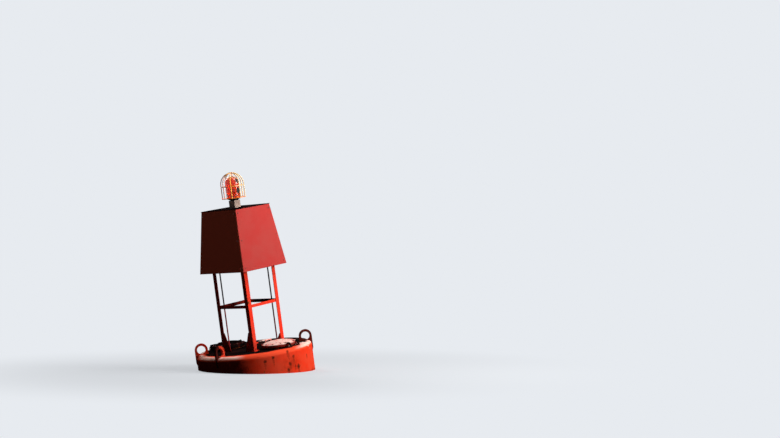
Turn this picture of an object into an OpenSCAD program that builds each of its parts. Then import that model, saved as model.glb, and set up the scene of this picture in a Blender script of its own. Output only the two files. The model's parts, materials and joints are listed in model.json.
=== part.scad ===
// Steel lighted navigation buoy, afloat on its tail tube and counterweight.
// Units are millimetres. The origin is on the buoy's axis at the waterline, +Z is up.
// The tower's corners look along +X, +Y, -X and -Y; the near corner is the one at -Y.

/* [Hull] */
// Outside diameter of the drum hull
hull_d = 1524; // [1300:4:1800]
// Height of the deck above the waterline
freeboard = 295; // [240:5:350]
// Depth of the drum's side below the waterline
hull_draft = 295; // [250:5:380]
// Radius of the rounded deck edge
shoulder_r = 56; // [35:1:75]
// Radius of the rounded bottom edge
bilge_r = 70; // [45:1:95]
// Drop of the conical bottom from the side to the tail tube
dish_h = 85; // [50:5:130]

/* [Tail and ballast] */
// Outside diameter of the tail tube
tail_d = 360; // [300:5:420]
// Length of the tail tube below the hull
tail_len = 585; // [480:5:700]
// Outside diameter of the counterweight rings
ballast_d = 610; // [520:5:700]
// Height of one counterweight ring
ballast_ring_h = 50; // [35:1:60]
// Number of counterweight rings
ballast_rings = 3; // [2:1:4]
// Thickness of the flange under the counterweight
tail_flange_t = 16; // [12:1:25]
// Width of the ledge that carries the counterweight
tail_flange_w = 60; // [40:5:90]
// Thickness of the tail brackets
bracket_t = 12; // [8:1:16]
// Height of the tail brackets
bracket_h = 260; // [180:10:320]
// Reach of the tail brackets along the hull's bottom
bracket_reach = 330; // [220:10:400]
// Radius of the hole in the mooring eye
moor_hole_r = 32; // [24:1:38]
// Width of metal around the mooring eye's hole
moor_rim = 34; // [26:1:45]
// Thickness of the mooring eye's plate
moor_t = 30; // [22:1:36]
// Drop of the mooring eye's hole below the tail flange
moor_drop = 76; // [72:1:100]

/* [Lifting eyes] */
// Width of a lifting eye's plate
eye_w = 172; // [156:2:190]
// Thickness of a lifting eye's plate
eye_t = 25; // [16:1:32]
// Radius of the hole in a lifting eye
eye_hole_r = 55; // [40:1:60]
// Height of the hole's centre above the deck
eye_rise = 62; // [60:1:110]
// How far the plate stands proud of the hull's side
eye_proud = 12; // [8:1:25]
// How far the plate runs down the side from the deck
eye_tail = 130; // [110:5:300]

/* [Battery pockets] */
// Distance of a pocket's centre from the buoy's axis
pocket_r = 430; // [425:1:440]
// Inside diameter of a pocket
pocket_d = 368; // [340:2:376]
// Wall of a pocket and its coaming
pocket_wall = 6; // [5:1:8]
// Height of the coaming above the deck
coaming_h = 42; // [34:1:60]
// Width of the weld flange around the coaming
pocket_flange_w = 18; // [12:1:20]
// Thickness of the weld flange
pocket_flange_t = 8; // [5:1:10]

/* [Pocket lids] */
// Outside diameter of a lid
lid_d = 456; // [446:1:460]
// Thickness of the lid's edge and of its crown
lid_t = 10; // [8:1:14]
// Rise of the lid's crown above its edge
lid_crown = 40; // [25:1:55]
// Depth of the rim that hangs round the lid
lid_rim_h = 20; // [14:1:26]
// Thickness of the lid's rim
lid_rim_t = 6; // [5:1:10]
// Distance of the hinge axis outside the lid's edge
lid_hinge_out = 20; // [18:1:24]
// Width of one lid hinge
lid_hinge_w = 22; // [16:1:30]
// Half of the distance between a lid's two hinges
lid_hinge_half = 80; // [60:5:100]

/* [Tower] */
// Width across two opposite faces of the tower
tower_side = 578; // [564:2:590]
// Flange width of a leg
leg_w = 58; // [45:1:62]
// Flange thickness of a leg
leg_t = 6; // [5:1:9]
// Side of a leg's foot plate
foot_side = 90; // [76:1:100]
// Thickness of a leg's foot plate
foot_t = 12; // [8:1:16]
// Height of the middle ring above the deck
ring_rise = 584; // [450:5:700]
// Flange width of the middle ring
ring_w = 40; // [30:1:50]
// Flange thickness of the middle ring
ring_t = 5; // [4:1:8]
// Height of a foot gusset on the left front face
gusset_h = 245; // [180:5:300]
// Height of a foot gusset on the right back face
low_gusset_h = 135; // [90:5:180]
// Width of a foot gusset at its base
gusset_w = 95; // [70:5:130]

/* [Vent pipes] */
// Outside diameter of a vent pipe
vent_d = 18; // [14:1:24]
// Distance of a vent pipe from its leg's corner, along the face
vent_off = 78; // [77:1:90]
// Height of a vent pipe's bend above the daymark's lower edge
vent_top = 640; // [300:10:700]
// Radius of the bend at the top
vent_bend = 36; // [28:1:45]

/* [Daymark] */
// Height of the daymark's lower edge above the deck
mark_rise = 1051; // [950:5:1150]
// Height of the daymark
mark_h = 805; // [700:5:900]
// Width of the daymark at its lower edge
mark_bottom_side = 812; // [772:2:860]
// Width of the daymark at its upper edge
mark_top_side = 636; // [626:1:680]
// Thickness of a daymark panel
panel_t = 3; // [2:0.5:5]
// Distance of a panel's edge from the corner line
panel_edge = 4; // [3.8:0.1:8]
// Flange width of the daymark's frame
frame_w = 42; // [34:1:50]
// Flange thickness of the daymark's frame
frame_t = 5; // [4:1:7]
// Width of an outrigger plate
outrigger_w = 70; // [50:2:80]
// Thickness of an outrigger plate
outrigger_t = 8; // [6:1:12]
// Thickness of the roof plate
roof_t = 5; // [3:1:8]
// Overhang of the roof plate
roof_lip = 4; // [2:1:10]

/* [Lantern] */
// Side of the square post
post_side = 104; // [80:1:112]
// Height of the post
post_h = 95; // [70:1:130]
// Diameter of the lantern's base flange
base_d = 172; // [158:1:180]
// Height of the lantern's base
base_h = 28; // [24:1:40]
// Outside diameter of the lens
lens_d = 190; // [170:1:196]
// Height of the lens below its dome
lens_h = 188; // [160:1:200]
// Wall of the lens
lens_wall = 5; // [4:1:8]
// Radius of the guard's bar circle
guard_r = 150; // [143:1:158]
// Diameter of a guard bar
guard_bar_d = 12; // [9:1:14]
// Number of guard bars
guard_bars = 8; // [6:1:10]
// Height of the guard above the head ring
guard_h = 332; // [325:1:350]
// Turn of the guard's first bar about the buoy's axis
guard_turn = 262; // [250:1:270]
// Thickness of the head ring
head_ring_t = 7; // [5:1:10]
// Width of the head ring's inner and outer rims
head_rim_w = 20; // [16:1:26]

/* [Fits] */
// Gap between pieces that are seated on each other along a curve
seat_gap = 0.3; // [0.2:0.05:0.5]
// Radial clearance of a hinge pin
pin_gap = 0.05; // [0.02:0.01:0.09]
// Side clearance between hinge knuckles
knuckle_gap = 1.5; // [1:0.1:3]
// Radius of the lids' hinge pins
lid_pin_r = 6; // [5:0.5:8]
// Radius of the lantern's hinge pin
head_pin_r = 4; // [3:0.5:5]

/* [Hidden] */
$fn = 96;
eps = 1;
hull_r = hull_d / 2;
deck_z = freeboard;
tail_r = tail_d / 2;
bottom_r = hull_r - bilge_r;
seam_z = bilge_r - hull_draft;
dish_z = -hull_draft - dish_h;
tail_z = dish_z - tail_len;
moor_z = tail_z - tail_flange_t - moor_drop;
half = tower_side / 2;
corner = half * sqrt(2);
foot_z = deck_z + foot_t;
foot_lip = 2;
foot_in = half - leg_w - foot_lip;
lens_seat = 5;
mark_z = deck_z + mark_rise;
mark_top_z = mark_z + mark_h;
mark_lean = atan((mark_bottom_side - mark_top_side) / 2 / mark_h);
mark_slant = mark_h / cos(mark_lean);
ring_z = deck_z + ring_rise;
post_z = mark_top_z + roof_t;
base_z = post_z + post_h;
head_z = base_z + base_h + knuckle_gap;
head_top_z = head_z + head_ring_t;
head_ring_r = guard_r + guard_bar_d / 2 + 3;
head_axis_y = head_ring_r + 18;
head_axis_z = head_z + head_ring_t / 2;
eye_x = hull_r + eye_proud - eye_w / 2;
eye_z = deck_z + eye_rise;
eye_angles = [0, 180, 230];
pocket_angles = [320, 140];
pocket_foot_z = seam_z + seat_gap;
coaming_z = deck_z + coaming_h;
lid_gasket = 3;
lid_z = coaming_z + lid_gasket;
lid_edge_z = lid_z + lid_t;
lid_axis_z = lid_z - lid_rim_h;
lid_axis_r = pocket_r + lid_d / 2 + lid_hinge_out;
lid_knuckle_r = lid_pin_r + 7;
head_knuckle_r = head_pin_r + 5;
vent_in = half - leg_t - ring_w - vent_d / 2 - seat_gap;

// Height of the conical bottom at radius r
function dish_at(r) = dish_z + dish_h * (r - tail_r) / (bottom_r - tail_r);

// Width of a daymark face at the distance s up its slope
function face_half(s) = (mark_bottom_side - (mark_bottom_side - mark_top_side) * s / mark_slant) / 2;

// Drum outline right of the axis, enlarged by g at its side and its rounded edge
module drum_outline(g = 0) {
    translate([0, seam_z]) square([hull_r + g, deck_z - shoulder_r - seam_z]);
    translate([0, deck_z - shoulder_r]) square([hull_r - shoulder_r, shoulder_r]);
    intersection() {
        translate([hull_r - shoulder_r, deck_z - shoulder_r]) circle(shoulder_r + g);
        translate([hull_r - shoulder_r, deck_z - shoulder_r]) square(shoulder_r + g);
    }
}

// L section with its heel at the origin and its flanges along +X and +Y
module angle_section(w, t) {
    square([w, t]);
    square([t, w]);
}

// Drum with a rounded deck edge and two wells for the battery pockets
module hull() {
    color("orangered") difference() {
        rotate_extrude() drum_outline();
        for (a = pocket_angles) rotate([0, 0, a]) translate([pocket_r, 0, seam_z - eps])
            cylinder(h = deck_z - seam_z + 2 * eps, r = pocket_d / 2 + pocket_wall + seat_gap);
    }
}

// Rounded and conical bottom, welded to the drum at its lower seam
module hull_bottom() {
    color("darkred") {
        rotate_extrude() {
            translate([0, -hull_draft]) square([bottom_r, bilge_r]);
            intersection() {
                translate([bottom_r, seam_z]) circle(bilge_r);
                translate([bottom_r, -hull_draft]) square(bilge_r);
            }
        }
        translate([0, 0, dish_z]) cylinder(h = dish_h, r1 = tail_r, r2 = bottom_r);
    }
}

// Tail tube with the flange that carries the counterweight
module tail_tube() {
    color("darkred") {
        translate([0, 0, tail_z]) cylinder(h = tail_len, r = tail_r);
        translate([0, 0, tail_z - tail_flange_t])
            cylinder(h = tail_flange_t, r = tail_r + tail_flange_w);
    }
}

// Four plates that brace the tail tube against the hull's bottom
module tail_brackets() {
    inner = tail_r + seat_gap;
    outer = tail_r + bracket_reach;
    color("darkred") for (a = [45:90:315]) rotate([0, 0, a])
        translate([0, bracket_t / 2, 0]) rotate([90, 0, 0]) linear_extrude(bracket_t)
            polygon([[inner, dish_at(inner) - seat_gap], [outer, dish_at(outer) - seat_gap],
                [outer, dish_at(outer) - 30], [inner + 40, dish_z - bracket_h],
                [inner, dish_z - bracket_h]]);
}

// Stack of cast rings that stands on the tail flange
module counterweight() {
    groove = 5;
    color("dimgray") difference() {
        translate([0, 0, tail_z]) cylinder(h = ballast_ring_h * ballast_rings, r = ballast_d / 2);
        translate([0, 0, tail_z - eps])
            cylinder(h = ballast_ring_h * ballast_rings + 2 * eps, r = tail_r + seat_gap);
        for (i = [1:1:ballast_rings - 1])
            translate([0, 0, tail_z + i * ballast_ring_h - groove / 2]) difference() {
                cylinder(h = groove, r = ballast_d / 2 + eps);
                translate([0, 0, -eps]) cylinder(h = groove + 2 * eps, r = ballast_d / 2 - groove);
            }
    }
}

// Plate eye under the tail flange, with a cheek on each side of its hole
module mooring_eye() {
    rim_r = moor_hole_r + moor_rim;
    cheek_t = 8;
    top = tail_z - tail_flange_t;
    color("dimgray") translate([0, 0, moor_z]) rotate([90, 0, 0]) difference() {
        union() {
            translate([0, 0, -moor_t / 2]) linear_extrude(moor_t) {
                circle(rim_r);
                polygon([[-rim_r, 0], [rim_r, 0], [rim_r + 30, top - moor_z], [-rim_r - 30, top - moor_z]]);
            }
            translate([0, 0, -moor_t / 2 - cheek_t])
                cylinder(h = moor_t + 2 * cheek_t, r = rim_r - 14);
        }
        translate([0, 0, -moor_t]) cylinder(h = 2 * moor_t, r = moor_hole_r);
    }
}

// Plate eye that stands on the deck and wraps over the hull's edge
module lifting_eye() {
    strip_w = 60;
    taper = 30;
    outer = hull_r + eye_proud;
    color("firebrick") difference() {
        translate([0, eye_t / 2, 0]) rotate([90, 0, 0]) linear_extrude(eye_t) difference() {
            union() {
                translate([eye_x, eye_z]) circle(eye_w / 2);
                translate([eye_x - eye_w / 2, deck_z]) square([eye_w, eye_rise]);
                polygon([[outer - strip_w, deck_z], [outer - strip_w, deck_z - eye_tail],
                    [hull_r + 3, deck_z - eye_tail], [outer, deck_z - eye_tail + taper], [outer, deck_z]]);
            }
            translate([eye_x, eye_z]) circle(eye_hole_r);
        }
        rotate_extrude() drum_outline(seat_gap);
    }
}

// Battery pocket: a closed-ended trunk with a coaming, a weld flange and hinge posts
module pocket() {
    outer_r = pocket_d / 2 + pocket_wall;
    post_w = 10;
    color("saddlebrown") {
        difference() {
            union() {
                translate([0, 0, pocket_foot_z]) cylinder(h = coaming_z - pocket_foot_z, r = outer_r);
                translate([0, 0, deck_z])
                    cylinder(h = pocket_flange_t, r = outer_r + pocket_flange_w);
            }
            translate([0, 0, pocket_foot_z + pocket_wall])
                cylinder(h = coaming_z - pocket_foot_z, r = pocket_d / 2);
        }
        for (side = [-1, 1]) for (end = [-1, 1])
            translate([lid_axis_r - pocket_r, side * lid_hinge_half
                    + end * (lid_hinge_w / 2 + knuckle_gap + post_w / 2), lid_axis_z])
                rotate([90, 0, 0]) difference() {
                    translate([0, 0, -post_w / 2]) linear_extrude(post_w) {
                        circle(lid_knuckle_r);
                        translate([-lid_knuckle_r, deck_z - lid_axis_z])
                            square([2 * lid_knuckle_r, lid_axis_z - deck_z]);
                    }
                    translate([0, 0, -post_w]) cylinder(h = 2 * post_w, r = lid_pin_r + pin_gap);
                }
    }
}

// Hinge pins of the two lids
module pocket_pins() {
    head_t = 3;
    length = 2 * (lid_hinge_w / 2 + knuckle_gap + 10 + seat_gap);
    color("silver") for (a = pocket_angles) rotate([0, 0, a])
        for (side = [-1, 1]) translate([lid_axis_r, side * lid_hinge_half, lid_axis_z])
            rotate([90, 0, 0]) {
                translate([0, 0, -length / 2]) cylinder(h = length, r = lid_pin_r);
                translate([0, 0, length / 2]) cylinder(h = head_t, r = lid_pin_r + 3);
                translate([0, 0, -length / 2 - head_t]) cylinder(h = head_t, r = lid_pin_r + 3);
            }
}

// Lid's section right of its axis: a crown over a flat land, with a hanging rim
module lid_section() {
    lid_r = lid_d / 2;
    land_r = pocket_d / 2 - 10;
    crown_r = (lid_r * lid_r + lid_crown * lid_crown) / 2 / lid_crown;
    crown_z = lid_edge_z + lid_crown - crown_r;
    difference() {
        union() {
            translate([0, lid_axis_z]) square([lid_r, lid_edge_z - lid_axis_z]);
            intersection() {
                translate([0, crown_z]) circle(crown_r);
                translate([0, lid_edge_z - eps]) square([lid_r, lid_crown + 2 * eps]);
            }
        }
        translate([-eps, lid_axis_z - eps]) square([lid_r - lid_rim_t + eps, lid_rim_h + eps]);
        intersection() {
            translate([0, crown_z]) circle(crown_r - lid_t);
            translate([-eps, lid_z - eps]) square([land_r + eps, lid_t + lid_crown]);
        }
    }
}

// Lid of a battery pocket, with its two hinge arms and a lifting handle
module lid() {
    reach = lid_axis_r - pocket_r;
    lid_r = lid_d / 2;
    arm_in = lid_r - 66;
    arm_top = lid_edge_z + 22;
    arm_foot = lid_edge_z - 2;
    arm_end = reach - 4;
    handle_r = 6;
    handle_w = 110;
    handle_h = 50;
    handle_x = -lid_r + 55;
    color("mistyrose") difference() {
        union() {
            rotate_extrude($fn = 144) lid_section();
            for (side = [-1, 1]) translate([0, side * lid_hinge_half + lid_hinge_w / 2, 0])
                rotate([90, 0, 0]) linear_extrude(lid_hinge_w) {
                    translate([reach, lid_axis_z]) circle(lid_knuckle_r);
                    polygon([[reach - lid_knuckle_r, lid_axis_z], [reach + lid_knuckle_r, lid_axis_z],
                        [arm_end, lid_edge_z + 10], [arm_in, arm_top], [arm_in, arm_foot],
                        [reach - lid_knuckle_r, arm_foot]]);
                }
            for (side = [-1, 1]) translate([handle_x, side * handle_w / 2, arm_foot])
                cylinder(h = handle_h, r = handle_r);
            translate([handle_x, handle_w / 2 + handle_r, arm_foot + handle_h - handle_r])
                rotate([90, 0, 0]) cylinder(h = handle_w + 2 * handle_r, r = handle_r - 1);
        }
        translate([reach, lid_hinge_half + lid_hinge_w, lid_axis_z]) rotate([90, 0, 0])
            cylinder(h = 2 * lid_hinge_half + 2 * lid_hinge_w, r = lid_pin_r + pin_gap);
    }
}

// Square plates under the legs
module foot_plates() {
    color("firebrick") for (a = [0:90:270]) rotate([0, 0, a])
        rotate([0, 0, 45]) translate([foot_in, -foot_in - foot_side, deck_z])
            cube([foot_side, foot_side, foot_t]);
}

// Foot gusset of the given height, on the deck beside a leg's flange
module gusset(height) {
    toe = 12;
    plate_end = foot_lip + seat_gap;
    translate([half, half - leg_w, deck_z]) rotate([90, 0, -90]) linear_extrude(leg_t)
        polygon([[0, foot_t], [plate_end, foot_t], [plate_end, 0], [gusset_w, 0], [gusset_w, toe],
            [toe, height], [0, height]]);
}

// Gussets at the feet, on the two faces without a battery pocket
module foot_gussets() {
    // azimuth of the face, side of the face, height
    places = [[225, 0, gusset_h], [225, 1, gusset_h], [45, 1, low_gusset_h]];
    color("firebrick") for (place = places)
        rotate([0, 0, place[0]]) mirror([0, place[1], 0]) gusset(place[2]);
}

// Angle-iron leg with its heel at the tower's corner
module leg() {
    color("red") translate([corner, 0, foot_z]) rotate([0, 0, 135])
        linear_extrude(mark_top_z - foot_z) angle_section(leg_w, leg_t);
}

// Ring of angle iron inside the legs
module ring_brace() {
    outer = 2 * (half - leg_t);
    color("red") translate([0, 0, ring_z]) rotate([0, 0, 45]) {
        difference() {
            translate([-outer / 2, -outer / 2, -ring_w / 2]) cube([outer, outer, ring_w]);
            translate([-outer / 2 + ring_t, -outer / 2 + ring_t, -ring_w / 2 - eps])
                cube([outer - 2 * ring_t, outer - 2 * ring_t, ring_w + 2 * eps]);
        }
        difference() {
            translate([-outer / 2, -outer / 2, -ring_w / 2]) cube([outer, outer, ring_t]);
            translate([-outer / 2 + ring_w, -outer / 2 + ring_w, -ring_w / 2 - eps])
                cube([outer - 2 * ring_w, outer - 2 * ring_w, ring_t + 2 * eps]);
        }
    }
}

// Vent pipe on the face to the right of the far corner's diagonal, with a bend at its top
module vent_pipe() {
    top = mark_z + vent_top;
    collar_h = 22;
    pipe_r = vent_d / 2;
    drop = 60;
    color("brown") rotate([0, 0, 45]) translate([vent_in, -half + vent_off, 0]) {
        translate([0, 0, deck_z]) cylinder(h = collar_h, r = pipe_r + 4);
        translate([0, 0, deck_z]) cylinder(h = top - deck_z, r = pipe_r);
        translate([-vent_bend, 0, top]) rotate([90, 0, 0])
            rotate_extrude(angle = 180) translate([vent_bend, 0]) circle(pipe_r);
        translate([-2 * vent_bend, 0, top - drop]) cylinder(h = drop, r = pipe_r);
    }
}

// Flat strip in a daymark face's plane, between two depths behind the face
module face_sheet(depth, thickness, points) {
    translate([mark_bottom_side / 2, 0, mark_z]) rotate([0, -mark_lean, 0])
        rotate([90, 0, 90]) translate([0, 0, -depth - thickness])
            linear_extrude(thickness) polygon(points);
}

// Daymark's frame: corner angles, a lower and an upper ring
module mark_frame() {
    inset = panel_t + seat_gap;
    bottom_out = mark_bottom_side / 2 - panel_t - 2;
    top_out = mark_top_side / 2 - panel_t - 2;
    color("firebrick") {
        for (a = [45:90:315]) rotate([0, 0, a]) {
            for (side = [-1, 1]) face_sheet(panel_t, frame_t, [
                [side * (face_half(0) - inset), 0], [side * (face_half(0) - inset - frame_w), 0],
                [side * (face_half(mark_slant - 1) - inset - frame_w), mark_slant - 1],
                [side * (face_half(mark_slant - 1) - inset), mark_slant - 1]]);
            face_sheet(panel_t, frame_t, [[-face_half(0) + inset, 0], [face_half(0) - inset, 0],
                [face_half(frame_w) - inset, frame_w], [-face_half(frame_w) + inset, frame_w]]);
        }
        rotate([0, 0, 45]) {
            translate([0, 0, mark_z]) difference() {
                translate([-bottom_out, -bottom_out, 0]) cube([2 * bottom_out, 2 * bottom_out, frame_t]);
                translate([frame_w - bottom_out, frame_w - bottom_out, -eps])
                    cube([2 * (bottom_out - frame_w), 2 * (bottom_out - frame_w), frame_t + 2 * eps]);
            }
            translate([0, 0, mark_top_z - frame_t - seat_gap]) difference() {
                translate([-top_out, -top_out, 0]) cube([2 * top_out, 2 * top_out, frame_t]);
                translate([-half - seat_gap, -half - seat_gap, -eps])
                    cube([2 * (half + seat_gap), 2 * (half + seat_gap), frame_t + 2 * eps]);
            }
        }
    }
}

// Plates that carry the daymark's lower ring out from the legs
module outriggers() {
    reach = (mark_bottom_side / 2 - panel_t - frame_t - 3) * sqrt(2) - outrigger_w / 2;
    color("firebrick") for (a = [0:90:270]) rotate([0, 0, a])
        translate([0, 0, mark_z + frame_t]) difference() {
            translate([corner - outrigger_w, -outrigger_w / 2, 0])
                cube([reach - corner + outrigger_w, outrigger_w, outrigger_t]);
            rotate([0, 0, 45]) cube([tower_side, tower_side, 4 * outrigger_t], center = true);
        }
}

// Sheet panel of the daymark
module panel() {
    color("indianred") face_sheet(0, panel_t, [
        [-face_half(0) + panel_edge, 0], [face_half(0) - panel_edge, 0],
        [face_half(mark_slant) - panel_edge, mark_slant],
        [-face_half(mark_slant) + panel_edge, mark_slant]]);
}

// Plate that closes the daymark's top
module roof_plate() {
    side = mark_top_side + 2 * roof_lip;
    color("maroon") translate([0, 0, mark_top_z + roof_t / 2]) rotate([0, 0, 45])
        cube([side, side, roof_t], center = true);
}

// Square post under the lantern
module lamp_post() {
    color("tan") translate([0, 0, post_z + post_h / 2]) rotate([0, 0, 45])
        cube([post_side, post_side, post_h], center = true);
}

// Lantern base: a tapered casting with a flange and two hinge arms
module lamp_base() {
    flange_t = 9;
    arm_t = 8;
    tongue_w = 18;
    color("black") difference() {
        union() {
            translate([0, 0, base_z])
                cylinder(h = base_h - flange_t, r1 = post_side / 2 - 2, r2 = base_d / 2 - 8);
            translate([0, 0, base_z + base_h - flange_t]) cylinder(h = flange_t, r = base_d / 2);
            for (side = [-1, 1])
                translate([side * (tongue_w / 2 + knuckle_gap + arm_t / 2) - arm_t / 2, 0, 0])
                    rotate([90, 0, 90]) linear_extrude(arm_t) {
                        translate([head_axis_y, head_axis_z]) circle(head_knuckle_r);
                        polygon([[base_d / 2 - 14, base_z + base_h - flange_t],
                            [head_axis_y + head_knuckle_r - 3, base_z + base_h - flange_t],
                            [head_axis_y + head_knuckle_r, head_axis_z],
                            [head_axis_y - head_knuckle_r, head_axis_z],
                            [head_axis_y - head_knuckle_r, base_z + base_h],
                            [base_d / 2 - 14, base_z + base_h]]);
                    }
        }
        translate([-40, head_axis_y, head_axis_z]) rotate([0, 90, 0])
            cylinder(h = 80, r = head_pin_r + pin_gap);
    }
}

// Lamp changer inside the lens: a stem with a turret of six bulbs
module lamp_changer() {
    stem_z = base_z + base_h;
    stem_h = 105;
    stem_r = 9;
    turret_z = stem_z + stem_h;
    color("gainsboro") {
        translate([0, 0, stem_z]) cylinder(h = stem_h, r = stem_r);
        translate([0, 0, turret_z]) cylinder(h = 26, r = 24);
        for (a = [0:60:300]) rotate([0, 0, a]) translate([20, 0, turret_z + 13])
            rotate([0, 90, 0]) cylinder(h = 14, r = 6);
    }
}

// Hinge pin of the lantern's head
module head_pin() {
    length = 18 + 2 * knuckle_gap + 2 * 8 + 2 * seat_gap;
    color("silver") translate([0, head_axis_y, head_axis_z]) rotate([0, 90, 0]) {
        translate([0, 0, -length / 2]) cylinder(h = length, r = head_pin_r);
        translate([0, 0, length / 2]) cylinder(h = 3, r = head_pin_r + 2.5);
        translate([0, 0, -length / 2 - 3]) cylinder(h = 3, r = head_pin_r + 2.5);
    }
}

// Hinged ring that carries the lens and its guard: two rims joined by spokes, with a tongue for the hinge
module head_ring() {
    tongue_w = 18;
    spoke_w = 16;
    hole_r = lens_d / 2 - lens_wall - lens_seat;
    inner_rim_r = hole_r + head_rim_w + 4;
    color("darkorange") difference() {
        union() {
            translate([0, 0, head_z]) difference() {
                cylinder(h = head_ring_t, r = head_ring_r);
                translate([0, 0, -eps]) difference() {
                    cylinder(h = head_ring_t + 2 * eps, r = head_ring_r - head_rim_w);
                    translate([0, 0, -eps]) cylinder(h = head_ring_t + 4 * eps, r = inner_rim_r);
                    for (i = [0:1:guard_bars - 1]) rotate([0, 0, guard_turn + i * 360 / guard_bars])
                        translate([0, -spoke_w / 2, -eps]) cube([head_ring_r, spoke_w, head_ring_t + 4 * eps]);
                }
            }
            translate([-tongue_w / 2, head_ring_r - 6, head_z])
                cube([tongue_w, head_axis_y - head_ring_r + 6, head_ring_t]);
            translate([-tongue_w / 2, head_axis_y, head_axis_z]) rotate([0, 90, 0])
                cylinder(h = tongue_w, r = head_knuckle_r - 1);
        }
        translate([0, 0, head_z - eps]) cylinder(h = head_ring_t + 2 * eps, r = hole_r);
        translate([-tongue_w, head_axis_y, head_axis_z]) rotate([0, 90, 0])
            cylinder(h = 2 * tongue_w, r = head_pin_r + pin_gap);
    }
}

// Lens outline right of the axis: a straight side with a round dome
module lens_outline(r, h) {
    square([r, h]);
    intersection() {
        translate([0, h]) circle(r);
        translate([0, h]) square(r);
    }
}

// Domed lens with a thin wall
module lens() {
    color("red", 0.8) translate([0, 0, head_top_z]) rotate_extrude() difference() {
        lens_outline(lens_d / 2, lens_h);
        lens_outline(lens_d / 2 - lens_wall, lens_h);
    }
}

// Wire guard: upright bars that bend over the dome into a boss, with one ring at half height
module lens_guard() {
    bar_r = guard_bar_d / 2;
    straight = guard_h - guard_r - bar_r;
    ring_r = bar_r - 1.5;
    boss_r = 24;
    color("gold") translate([0, 0, head_top_z]) {
        for (i = [0:1:guard_bars - 1]) rotate([0, 0, guard_turn + i * 360 / guard_bars]) {
            translate([guard_r, 0, 0]) cylinder(h = straight, r = bar_r);
            translate([0, 0, straight]) rotate([90, 0, 0])
                rotate_extrude(angle = 83) translate([guard_r, 0]) circle(bar_r);
        }
        translate([0, 0, guard_h - guard_bar_d - 1]) cylinder(h = guard_bar_d + 2, r = boss_r);
        translate([0, 0, guard_h * 0.46]) rotate_extrude() translate([guard_r, 0]) circle(ring_r);
    }
}

hull();
hull_bottom();
tail_tube();
tail_brackets();
counterweight();
mooring_eye();
rotate([0, 0, eye_angles[0]]) lifting_eye();  // eye_right
rotate([0, 0, eye_angles[1]]) lifting_eye();  // eye_left
rotate([0, 0, eye_angles[2]]) lifting_eye();  // eye_front
rotate([0, 0, pocket_angles[0]]) translate([pocket_r, 0, 0]) pocket();  // pocket_front
rotate([0, 0, pocket_angles[1]]) translate([pocket_r, 0, 0]) pocket();  // pocket_rear
pocket_pins();
rotate([0, 0, pocket_angles[0]]) translate([pocket_r, 0, 0]) lid();  // lid_front
rotate([0, 0, pocket_angles[1]]) translate([pocket_r, 0, 0]) lid();  // lid_rear
foot_plates();
foot_gussets();
leg();  // leg_right
rotate([0, 0, 90]) leg();  // leg_far
rotate([0, 0, 180]) leg();  // leg_left
rotate([0, 0, 270]) leg();  // leg_near
ring_brace();
vent_pipe();  // vent_right
mirror([1, 0, 0]) vent_pipe();  // vent_left
mark_frame();
outriggers();
rotate([0, 0, 315]) panel();  // panel_right_front
rotate([0, 0, 45]) panel();  // panel_right_back
rotate([0, 0, 135]) panel();  // panel_left_back
rotate([0, 0, 225]) panel();  // panel_left_front
roof_plate();
lamp_post();
lamp_base();
lamp_changer();
head_pin();
head_ring();
lens();
lens_guard();
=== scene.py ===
"""Looks of the lighted navigation buoy: finishes, panels, lens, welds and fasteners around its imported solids.

Metres, +Z up, with the origin on the buoy's axis at the waterline. The tower's corners look along X and Y.
"""

import json
import math
import random

import bmesh
import bpy
from mathutils import Matrix, Vector


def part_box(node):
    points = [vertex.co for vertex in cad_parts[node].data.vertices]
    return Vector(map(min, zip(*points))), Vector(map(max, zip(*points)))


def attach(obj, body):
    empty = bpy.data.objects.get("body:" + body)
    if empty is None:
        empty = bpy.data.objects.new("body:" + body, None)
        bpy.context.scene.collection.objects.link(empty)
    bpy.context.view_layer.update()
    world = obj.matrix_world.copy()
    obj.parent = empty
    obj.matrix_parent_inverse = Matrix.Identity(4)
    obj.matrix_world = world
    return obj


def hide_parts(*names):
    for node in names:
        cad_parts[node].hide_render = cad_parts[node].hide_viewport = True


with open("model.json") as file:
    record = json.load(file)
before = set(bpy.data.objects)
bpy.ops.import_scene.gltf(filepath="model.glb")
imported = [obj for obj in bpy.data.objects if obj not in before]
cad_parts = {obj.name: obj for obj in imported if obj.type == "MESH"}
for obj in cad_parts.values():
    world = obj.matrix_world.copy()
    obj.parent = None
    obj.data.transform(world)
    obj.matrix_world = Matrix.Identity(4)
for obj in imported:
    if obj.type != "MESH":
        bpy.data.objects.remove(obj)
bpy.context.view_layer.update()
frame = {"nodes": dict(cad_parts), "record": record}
nodes = frame["nodes"]

# The photograph's frame and the view that it was taken from. The eye is at the origin of the view's axes,
# which are right, away and up.
IMAGE_W = 780
IMAGE_H = 438
FOCAL_PX = 1700
HORIZON_Y = 237
SENSOR_W = 36
HEEL_LEFT = math.radians(7.3)
LEAN_NEAR = math.radians(4.46)
HEADING = math.radians(4.65)
DECK_FROM_EYE = Vector((-1.791, 22.402, -1.454))

# Studio. Each lamp has a name, an azimuth from the view's right, an elevation, a distance, a size, a power,
# a colour and the height that it aims at. The last two light the bottom alone, from under the floor.
LAMPS = [
    ("key", -14, 18, 8, 1.8, 470, (1, 0.98, 0.95), 1.1),
    ("top", -14, 58, 6, 3.5, 270, (1, 1, 1), 1.1),
    ("back", 118, 35, 8, 4, 350, (1, 1, 1), 1.1),
    ("under_near", -50, -28, 6, 3, 260, (1, 1, 1), -0.5),
    ("under_far", 130, -28, 6, 3, 160, (1, 1, 1), -0.5),
]
BACKDROP = (0.8, 0.83, 0.87, 1)
AMBIENT_COLOUR = (0.93, 0.96, 1, 1)
AMBIENT = 0.018
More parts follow.
